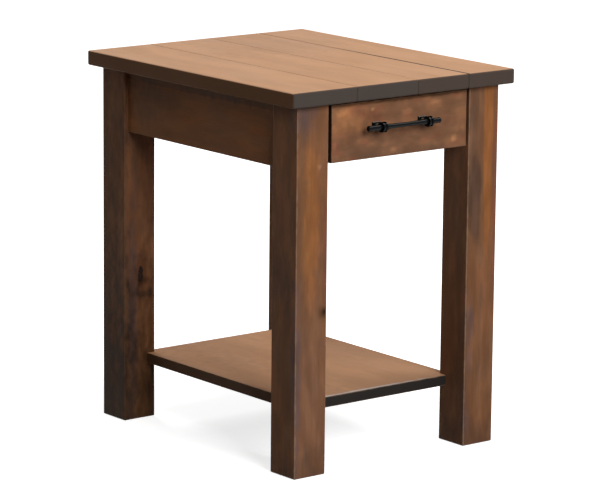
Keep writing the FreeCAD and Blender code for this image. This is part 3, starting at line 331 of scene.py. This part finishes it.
def board(name, node, grain, stains, offset, pith=(0.09, 0.04, 0), ring_width=0.004, streaks=0.6, clouds=0.5,
          mottling=0.4, mottle_scale=(44, 44, 17), rings=0.15, pores=0.3, end=None, side=None, patches=(),
          knots=(), seams=(), edge=(None, 0.0, 0.003), whole=None, roughness=0.45, specular=0.15,
          relief=0.2):
    """One board's own material, from its grain direction, its stains and the marks on it."""
    material, graph, shader, coordinates = new_material(name)
    place, facing = coordinates["Object"], graph.split(coordinates["Normal"])
    parts = graph.split(place)
    turned = graph.join(*(parts[axis] for axis in GRAIN[grain]))
    main, dark, warm, cool = (STAINS[stain] for stain in stains)
    stained = graph.group(STAINED_BOARD, Board=graph.vector("ADD", turned, offset),
                          Pith=tuple(a + b for a, b in zip(pith, offset)), Ring_Width=ring_width,
                          Main_Stain=main, Dark_Stain=dark, Warm_Stain=warm, Cool_Stain=cool,
                          Streaks=streaks, Clouds=clouds, Mottling=mottling,
                          Mottle_Scale=mottle_scale, Ring_Contrast=rings, Pore_Contrast=pores)
    colour, height = stained["Color"], stained["Height"]
    for centre, reach, stain, amount, softness in patches:
        mask = graph.group(PATCH, Place=place, Centre=centre, Reach=reach, Softness=softness,
                           Raggedness=0.4 * softness)["Mask"]
        change = tuple(new / old for new, old in zip(STAINS[stain], STAINS[stains[0]]))
        tinted = graph.mix(1.0, colour, change, "MULTIPLY")
        colour = graph.mix(graph.math("MULTIPLY", mask, amount), colour, tinted)
    for centre, reach in knots:
        made = graph.group(KNOT, Place=place, Centre=centre, Reach=reach, Color=colour)
        colour = made["Color"]
        height = graph.math("SUBTRACT", height, graph.math("MULTIPLY", made["Eye"], 0.6))
    if side:
        off_top = graph.remap(facing[2], 0.66, 0.50)
        colour = graph.mix(off_top, colour, graph.mix(0.9, colour, STAINS[side]))
    for across, width, amount in seams:
        away = graph.math("ABSOLUTE", graph.math("SUBTRACT", parts[0], across))
        front = graph.remap(parts[1], 0.12, -0.06, 0.2, 1.0)
        dirt = graph.math("MULTIPLY", graph.remap(away, 1.5 * width, 0.5 * width, 0.0, amount), front)
        colour = graph.mix(dirt, colour, STAINS["black brown"])
    if end:
        along = graph.math("ABSOLUTE", facing["xyz".index(grain)])
        colour = graph.mix(graph.remap(along, 0.3, 0.6), colour,
                           graph.mix(0.95, colour, STAINS[end]))
    low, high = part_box(node)
    if whole:
        low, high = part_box(whole[0])[0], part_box(whole[1])[1]
    stain, amount, width = edge
    if stain:
        near = graph.group(ARRIS, Place=place, Low=tuple(low), High=tuple(high), Width=width)["Edge"]
        colour = graph.mix(graph.math("MULTIPLY", near, amount), colour, STAINS[stain])
    bump = graph.node("ShaderNodeBump", {"Strength": relief, "Distance": 0.0004, "Height": height})
    graph.feed(shader.inputs["Base Color"], colour)
    graph.feed(shader.inputs["Roughness"], graph.math("ADD", stained["Dullness"], roughness))
    graph.feed(shader.inputs["Normal"], bump.outputs[0])
    shader.inputs["Specular IOR Level"].default_value = specular
    dress(node, material)


def dress(node, material):
    """Give a piece its one material."""
    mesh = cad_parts[node].data
    mesh.materials.clear()
    mesh.materials.append(material)


def dress_top():
    """Four planks, tan on top, with charcoal end grain and brown long edges and undersides."""
    seams = [(-0.103, 0.0012, 0.15), (0.024, 0.0012, 0.15), (0.132, 0.0026, 0.95)]
    for number, (offset, pith, streaks, end) in enumerate([
            ((0.31, 0.12, 0.4), (-0.07, 0.02, 0), 0.16, "cool charcoal"),
            ((1.12, 0.57, 1.9), (0.09, -0.03, 0), 0.20, "cool charcoal"),
            ((2.41, 1.33, 0.7), (-0.06, 0.11, 0), 0.20, "charcoal"),
            ((3.27, 2.08, 2.6), (0.08, 0.15, 0), 0.18, "charcoal")], 1):
        node = f"top_plank_{number}"
        board(f"tan_top_{number}", node, "y", ("tan", "dull tan", "light tan", "dull tan"), offset, pith,
              streaks=streaks, clouds=0.25, mottling=0.2, mottle_scale=(22, 22, 7), rings=0.12, pores=0.25,
              end=end, side="umber", seams=seams[max(number - 2, 0):number], roughness=0.60, specular=0.08,
              patches=[((0.060, 0.170, 0.635), (0.220, 0.200, 0.05), "dull tan", 0.7, 0.9)])


LEG_MARKS = {
    "leg_front_left": {
        "offset": (4.1, 1.7, 0.3), "pith": (-0.11, -0.16, 0),
        "patches": [
            ((-0.180, -0.262, 0.120), (0.080, 0.02, 0.300), "dusty brown", 0.9, 0.9),
            ((-0.184, -0.262, 0.420), (0.024, 0.02, 0.180), "orange", 0.9, 0.6),
            ((-0.196, -0.262, 0.600), (0.036, 0.02, 0.060), "purple grey", 0.85, 0.8),
            ((-0.152, -0.262, 0.385), (0.007, 0.02, 0.100), "red brown", 0.9, 0.6),
            ((-0.208, -0.262, 0.180), (0.010, 0.02, 0.190), "purple grey", 0.8, 0.7),
            ((-0.172, -0.262, 0.130), (0.009, 0.02, 0.100), "russet", 0.5, 0.8),
            ((-0.190, -0.262, 0.487), (0.014, 0.02, 0.006), "grey brown", 0.6, 0.9),
            ((-0.186, -0.262, 0.464), (0.012, 0.02, 0.005), "grey brown", 0.5, 0.9),
            ((-0.165, -0.262, 0.509), (0.005, 0.02, 0.006), "rubbed and highlit", 0.3, 0.9),
            ((-0.172, -0.262, 0.335), (0.005, 0.02, 0.012), "grey brown", 0.6, 0.9),
            ((-0.156, -0.262, 0.270), (0.014, 0.02, 0.018), "umber", 0.9, 0.9),
            ((-0.178, -0.262, 0.000), (0.150, 0.15, 0.060), "dark brown", 0.75, 0.9),
            ((-0.212, -0.225, 0.320), (0.02, 0.040, 0.070), "dark brown", 0.8, 0.9),
            ((-0.212, -0.222, 0.450), (0.02, 0.020, 0.090), "red brown", 0.5, 0.9),
            # Painted shade: umber at the top of the left face, under the top's overhang.
            ((-0.212, -0.216, 0.607), (0.02, 0.042, 0.030), "umber", 0.7, 0.9),
        ],
        "knots": [((-0.153, -0.262, 0.271), (0.0020, 0.008, 0.0030))],
    },
    "leg_front_right": {
        "offset": (5.6, 2.9, 1.1), "pith": (0.10, -0.14, 0),
        "patches": [
            ((0.164, -0.262, 0.560), (0.0168, 0.02, 0.220), "grey brown", 0.45, 0.15),
            ((0.163, -0.262, 0.415), (0.0172, 0.02, 0.095), "dark brown", 1.0, 0.4),
            ((0.148, -0.228, 0.300), (0.006, 0.100, 0.600), "dark brown", 0.6, 0.8),
            ((0.191, -0.262, 0.540), (0.0110, 0.02, 0.230), "orange", 0.95, 0.2),
            ((0.208, -0.262, 0.420), (0.007, 0.02, 0.260), "red brown", 0.9, 0.6),
            ((0.180, -0.262, 0.320), (0.020, 0.02, 0.028), "russet", 0.5, 0.9),
            ((0.157, -0.262, 0.190), (0.016, 0.02, 0.080), "purple grey", 0.8, 0.9),
            ((0.152, -0.262, 0.060), (0.012, 0.02, 0.080), "purple grey", 0.7, 0.8),
            ((0.183, -0.262, 0.180), (0.006, 0.02, 0.110), "russet", 0.6, 0.8),
            ((0.178, -0.262, 0.000), (0.150, 0.15, 0.060), "dark brown", 0.75, 0.9),
        ],
        "knots": [],
    },
    "leg_rear_left": {
        "offset": (6.4, 3.3, 2.2), "pith": (-0.14, 0.12, 0),
        "patches": [((-0.180, 0.240, 0.000), (0.300, 0.30, 0.400), "umber", 0.9, 0.9),
                    ((-0.212, 0.240, 0.000), (0.060, 0.20, 0.300), "dark brown", 0.9, 0.9),
                    ((-0.170, 0.210, 0.243), (0.020, 0.02, 0.012), "umber", 1.0, 0.8),
                    ((-0.168, 0.210, 0.219), (0.024, 0.02, 0.009), "dark brown", 1.0, 0.8),
                    ((-0.194, 0.210, 0.200), (0.018, 0.02, 0.300), "purple grey", 1.0, 0.9),
                    ((-0.212, 0.285, 0.250), (0.02, 0.100, 0.900), "umber", 0.9, 0.9),
                    ((-0.150, 0.210, 0.030), (0.035, 0.03, 0.120), "umber", 0.9, 0.9),
                    ((-0.160, 0.210, 0.380), (0.020, 0.02, 0.180), "dark brown", 0.6, 0.9),
                    # Painted shade: darker at the top of the front face, under the apron and the top.
                    ((-0.180, 0.210, 0.505), (0.060, 0.02, 0.085), "dark brown", 0.9, 0.9)],
        "knots": [((-0.178, 0.210, 0.253), (0.0055, 0.010, 0.017))],
    },
    "leg_rear_right": {
        "offset": (7.7, 4.6, 0.9), "pith": (0.15, 0.20, 0),
        "patches": [((0.180, 0.240, 0.020), (0.070, 0.08, 0.200), "dark brown", 0.5, 0.9)],
        "knots": [((0.186, 0.212, 0.430), (0.006, 0.012, 0.009))],
    },
}


def dress_legs():
    """Square legs in brown stain with orange and grey streaks, paler along their edges, partly rubbed and
    partly a painted highlight.
    """
    for node, marks in LEG_MARKS.items():
        # Pale edges: partly rubbed, partly a painted highlight; strong on the front legs, faint on the rear
        # ones.
        rub_and_highlight = 0.15 if "rear" in node else 0.7
        board(f"brown_{node}", node, "z", ("brown", "dark brown", "russet", "grey brown"), marks["offset"],
              marks["pith"], streaks=0.5, clouds=0.25, mottling=0.55, mottle_scale=(50, 50, 14),
              end="charcoal", patches=marks["patches"], knots=marks["knots"], edge=("rubbed and highlit", rub_and_highlight, 0.0026),
              roughness=0.5, specular=0.06)


APRON_MARKS = {
    "apron_left": [((-0.204, 0.040, 0.548), (0.02, 0.070, 0.020), "orange", 0.8, 0.9),
                   ((-0.204, -0.145, 0.553), (0.02, 0.060, 0.016), "orange", 0.8, 0.9),
                   ((-0.204, -0.100, 0.530), (0.02, 0.050, 0.012), "orange", 0.6, 0.9),
                   # Painted shade: darker along the top, under the top's overhang.
                   ((-0.204, -0.060, 0.605), (0.02, 0.150, 0.020), "dark brown", 0.6, 0.9),
                   ((-0.204, 0.160, 0.560), (0.02, 0.070, 0.050), "dark brown", 0.5, 0.9),
                   # Painted shadow: an umber band along the whole top, under the overhang.
                   ((-0.204, -0.020, 0.606), (0.02, 0.420, 0.016), "umber", 0.7, 0.25)],
}


def dress_aprons_and_shelf():
    """Aprons in the legs' brown, the left one with painted shade along its top, and a shelf that is tan on
    top with nearly black edges, painted light and shade on its top and a painted highlight along its front
    edge.
    """
    for node, grain, offset in (("apron_left", "y", (1.4, 5.2, 0.2)), ("apron_right", "y", (2.9, 6.1, 1.3)),
                                ("apron_rear", "x", (3.3, 7.4, 2.1))):
        board(f"brown_{node}", node, grain, ("apron brown", "dark brown", "orange", "brown"), offset,
              streaks=0.6, clouds=0.5, patches=APRON_MARKS.get(node, ()), edge=("rubbed and highlit", 0.4, 0.0018),
              roughness=0.5, specular=0.06)
    for number, offset in ((1, (0.6, 8.3, 0.8)), (2, (1.7, 8.9, 1.6)), (3, (2.2, 9.7, 2.9))):
        board(f"tan_shelf_{number}", f"shelf_board_{number}", "y",
              ("shelf tan", "dull shelf", "shelf tan", "dull shelf"), offset, streaks=0.2, clouds=0.25,
              mottling=0.2, mottle_scale=(22, 22, 7), rings=0.10, pores=0.25, end="soot", side="black brown",
              # Painted light on the shelf's left front, where the table shades it, and painted shade on its
              # right back, where the lamps fall.
              patches=[((-0.150, 0.000, 0.1135), (0.150, 0.450, 0.05), "shelf painted light", 1.0, 0.9),
                       ((0.080, 0.060, 0.1135), (0.130, 0.200, 0.05), "dull shelf", 0.7, 0.9),
                       # Painted highlight: a pale line along the shelf's front top edge.
                       ((-0.020, -0.214, 0.1135), (0.170, 0.008, 0.0050), "painted edge highlight", 1.0, 0.5)],
              # Pale edges: partly rubbed, partly a painted highlight along the front.
              edge=("rubbed and highlit", 0.6, 0.0020), whole=("shelf_board_1", "shelf_board_3"), roughness=0.6,
              specular=0.06)


def dress_drawer():
    """The mottled front, with a painted shadow along its top edge, and a clear-finished maple box."""
    board("mottled_drawer_front", "drawer_front", "x", ("drawer brown", "grey brown", "russet", "red brown"),
          (0.9, 3.9, 5.5), (-0.02, 0.09, 0), streaks=0.3, clouds=0.5, mottling=0.75,
          mottle_scale=(44, 44, 26), rings=0.12, end="black brown",
          patches=[((-0.105, -0.262, 0.570), (0.065, 0.02, 0.045), "russet", 1.0, 0.9),
                   ((-0.105, -0.262, 0.580), (0.060, 0.02, 0.030), "amber", 0.3, 0.9),
                   ((-0.058, -0.262, 0.592), (0.005, 0.02, 0.005), "amber", 0.9, 0.9),
                   ((-0.124, -0.262, 0.594), (0.020, 0.02, 0.010), "amber", 0.6, 0.9),
                   ((0.016, -0.262, 0.582), (0.015, 0.02, 0.006), "amber", 0.5, 0.9),
                   ((0.074, -0.262, 0.592), (0.020, 0.02, 0.007), "amber", 0.5, 0.9),
                   ((0.114, -0.262, 0.528), (0.010, 0.02, 0.009), "amber", 1.0, 0.9),
                   ((0.134, -0.262, 0.545), (0.008, 0.02, 0.014), "amber", 0.5, 0.9),
                   ((-0.014, -0.262, 0.522), (0.011, 0.02, 0.008), "amber", 0.5, 0.9),
                   ((-0.116, -0.262, 0.572), (0.009, 0.02, 0.006), "amber", 0.4, 0.9),
                   ((-0.135, -0.262, 0.540), (0.007, 0.02, 0.009), "amber", 0.45, 0.9),
                   ((0.020, -0.262, 0.512), (0.170, 0.02, 0.022), "grey brown", 0.7, 0.9),
                   # Painted shadow: an umber band along the top edge, where the top's overhang shades the
                   # front.
                   ((0.000, -0.262, 0.606), (0.400, 0.02, 0.0065), "umber", 0.9, 0.6)],
          edge=("rubbed and highlit", 0.5, 0.0018), roughness=0.5, specular=0.08)
    box = [("drawer_box_front", "x", (1.1, 4.4, 6.6)), ("drawer_box_back", "x", (2.3, 5.5, 7.7)),
           ("drawer_side_left", "y", (3.5, 6.6, 8.8)), ("drawer_side_right", "y", (4.7, 7.7, 9.9))]
    for node, grain, offset in box:
        board(f"maple_{node}", node, grain, ("maple", "dark maple", "honey", "honey"), offset, streaks=0.4,
              clouds=0.3, mottling=0.15, rings=0.3, pores=0.3, end="dark maple", roughness=0.4, specular=0.3)
    board("maple_drawer_bottom", "drawer_bottom", "x", ("maple", "honey", "honey", "maple"), (5.9, 8.8, 1.1),
          (0.0, 0.35, 0), 0.006, streaks=0.5, clouds=0.4, mottling=0.15, rings=0.4, roughness=0.4,
          specular=0.3)


def dress_inner_woods():
    """The rail and the packing rails, in plain poplar brown."""
    rails = [("front_rail", "x", (6.2, 1.9, 3.2)), ("slide_cleat_left", "y", (7.3, 2.8, 4.3)),
             ("slide_cleat_right", "y", (8.4, 3.7, 5.4))]
    for node, grain, offset in rails:
        board(f"plain_{node}", node, grain, ("dull tan", "dark brown", "tan", "grey brown"), offset,
              streaks=0.5, clouds=0.4, rings=0.3, end="dark brown", roughness=0.6)


# Metals

def plated(name, bright, cloudy, smoothness, relief, nodes, metallic=1.0):
    """Plated or coated steel for several pieces."""
    material, graph, shader, coordinates = new_material(name)
    made = graph.group(PLATING, Place=coordinates["Object"], Bright=bright, Cloudy=cloudy,
                       Smoothness=smoothness)
    bump = graph.node("ShaderNodeBump", {"Strength": relief, "Distance": 0.0001, "Height": made["Height"]})
    graph.feed(shader.inputs["Base Color"], made["Color"])
    graph.feed(shader.inputs["Roughness"], made["Roughness"])
    graph.feed(shader.inputs["Normal"], bump.outputs[0])
    shader.inputs["Metallic"].default_value = metallic
    for node in nodes:
        dress(node, material)


def dress_metals():
    """Black coated slides, zinc clips, darker cages, bright balls and screws."""
    hands = ("left", "right")
    plated("black_slides", (0.020, 0.020, 0.021), (0.012, 0.012, 0.013), 0.34, 0.1,
           [f"slide_{part}_{hand}" for part in ("outer", "middle", "inner") for hand in hands], metallic=0.0)
    plated("zinc_clips", (0.60, 0.62, 0.64), (0.44, 0.45, 0.47), 0.30, 0.2, ["top_clips"])
    plated("dull_cages", (0.40, 0.40, 0.41), (0.28, 0.28, 0.29), 0.38, 0.2,
           [f"ball_cage_{row}_{hand}" for row in ("outer", "inner") for hand in hands])
    plated("bright_balls", (0.74, 0.74, 0.75), (0.66, 0.66, 0.67), 0.10, 0.05,
           [f"balls_{row}_{hand}" for row in ("outer", "inner") for hand in hands])
    plated("yellow_zinc_screws", (0.62, 0.55, 0.38), (0.46, 0.40, 0.28), 0.28, 0.15,
           [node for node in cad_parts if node.endswith("_screws")])


def dress_pull():
    """Satin black paint with a fine powder texture, rubbed grey in places, and a painted grey highlight on
    top of the posts.
    """
    material, graph, shader, coordinates = new_material("black_pull")
    place = coordinates["Object"]
    powder = graph.noise(place, (2200, 2200, 2200), 2.0)[0]
    rubbed = graph.noise(place, (240, 240, 240), 4.0, 0.65)[0]
    thin = graph.remap(rubbed, 0.60, 0.78, 0.0, 0.55)
    colour = graph.mix(thin, (0.0035, 0.0037, 0.0037), (0.026, 0.026, 0.024))
    # Painted highlight: pale grey on the up-facing faces of the posts, between the drawer front and the bar.
    highlight_facing_up = graph.remap(graph.split(coordinates["Normal"])[2], 0.30, 0.80, 0.0, 0.9)
    behind = graph.remap(graph.split(place)[1], -0.2770, -0.2745)
    colour = graph.mix(graph.math("MULTIPLY", highlight_facing_up, behind), colour, (0.230, 0.210, 0.190))
    bump = graph.node("ShaderNodeBump", {"Strength": 0.25, "Distance": 0.0001, "Height": powder})
    graph.feed(shader.inputs["Base Color"], colour)
    graph.feed(shader.inputs["Roughness"], graph.remap(rubbed, 0.3, 0.8, 0.24, 0.14))
    graph.feed(shader.inputs["Normal"], bump.outputs[0])
    shader.inputs["Specular IOR Level"].default_value = 0.08
    for node in ("pull_bar", "pull_post_left", "pull_post_right"):
        dress(node, material)


# Studio

def seen_directly(graph):
    """1 for what the camera sees, also in or through a shiny surface, and 0 for scattered light."""
    path = graph.node("ShaderNodeLightPath").outputs
    shiny = graph.math("MAXIMUM", path["Is Glossy Ray"], path["Is Transmission Ray"])
    return graph.math("MAXIMUM", path["Is Camera Ray"], shiny)


def make_world():
    """White all round to look at, and a low even light."""
    world = bpy.data.worlds.new("studio")
    bpy.context.scene.world = world
    world.use_nodes = True
    world.node_tree.nodes.clear()
    graph = Graph(world.node_tree)
    dim = graph.node("ShaderNodeBackground", {"Color": (1, 1, 1), "Strength": 0.06}).outputs[0]
    white = graph.node("ShaderNodeBackground", {"Color": (1, 1, 1), "Strength": 1.0}).outputs[0]
    shown = graph.node("ShaderNodeMixShader", {0: seen_directly(graph), 1: dim, 2: white}).outputs[0]
    graph.node("ShaderNodeOutputWorld", {0: shown})


def make_floor():
    """A wide pale floor that keeps the table's shadow."""
    reach = 14.0
    mesh = bpy.data.meshes.new("floor")
    corners = [(-reach, -reach, 0), (reach, -reach, 0), (reach, reach, 0), (-reach, reach, 0)]
    mesh.from_pydata(corners, [], [(0, 1, 2, 3)])
    floor = bpy.data.objects.new("floor", mesh)
    bpy.context.scene.collection.objects.link(floor)
    floor.location.z = -0.0004
    material, graph, shader, coordinates = new_material("pale_floor")
    seen = seen_directly(graph)
    speckle = graph.noise(coordinates["Object"], (40, 40, 40), 3.0)[0]
    tone = graph.remap(speckle, 0.2, 0.8, 0.97, 1.0)
    pale = graph.join(tone, tone, tone)
    graph.feed(shader.inputs["Base Color"], graph.mix(seen, (0.11, 0.108, 0.105), pale))
    shader.inputs["Roughness"].default_value = 0.9
    shader.inputs["Specular IOR Level"].default_value = 0.0
    glow = graph.remap(graph.length(coordinates["Object"]), 0.35, 1.3, 0.76, 1.0)
    graph.feed(shader.inputs["Emission Color"], graph.mix(seen, (0, 0, 0), graph.join(glow, glow, glow)))
    shader.inputs["Emission Strength"].default_value = 1.0
    mesh.materials.append(material)


def make_lamp(name, where, target, width, height, watts):
    """A square soft lamp that points at a target."""
    data = bpy.data.lights.new(name, "AREA")
    data.shape = "RECTANGLE"
    data.size, data.size_y = width, height
    data.energy = watts
    lamp = bpy.data.objects.new(name, data)
    bpy.context.scene.collection.objects.link(lamp)
    lamp.location = where
    lamp.rotation_euler = (Vector(target) - Vector(where)).to_track_quat("-Z", "Y").to_euler()


def make_camera():
    """The photograph's viewpoint: above the front left, with a long lens."""
    yaw, pitch, roll = math.radians(-38.27), math.radians(-11.72), math.radians(0.547)
    ahead = Vector((-math.sin(yaw) * math.cos(pitch), math.cos(yaw) * math.cos(pitch), math.sin(pitch)))
    level = ahead.cross(Vector((0, 0, 1))).normalized()
    upright = level.cross(ahead)
    right = math.cos(roll) * level + math.sin(roll) * upright
    up = -math.sin(roll) * level + math.cos(roll) * upright
    data = bpy.data.cameras.new("camera")
    data.sensor_width = 36.0
    data.lens = 3458.1 / 600 * data.sensor_width
    data.clip_end = 60.0
    camera = bpy.data.objects.new("camera", data)
    bpy.context.scene.collection.objects.link(camera)
    turn = Matrix((right, up, -ahead)).transposed()
    camera.matrix_world = Matrix.Translation((-3.5457, -4.4982, 1.4980)) @ turn.to_4x4()
    bpy.context.scene.camera = camera


def make_studio():
    """White surroundings, a key lamp in front, one high on the right and one behind."""
    make_world()
    make_floor()
    make_lamp("key_lamp", (-0.6, -3.9, 2.35), (0, 0, 0.35), 2.2, 2.2, 137)
    make_lamp("right_lamp", (1.9, -0.5, 3.0), (0, 0, 0.35), 1.3, 1.3, 37)
    make_lamp("rear_lamp", (0.6, 3.6, 2.9), (0, 0, 0.35), 1.5, 1.5, 55)
    make_camera()
    bpy.context.scene.view_settings.view_transform = "Standard"


dress_top()
dress_legs()
dress_aprons_and_shelf()
dress_drawer()
dress_inner_woods()
dress_metals()
dress_pull()
make_studio()
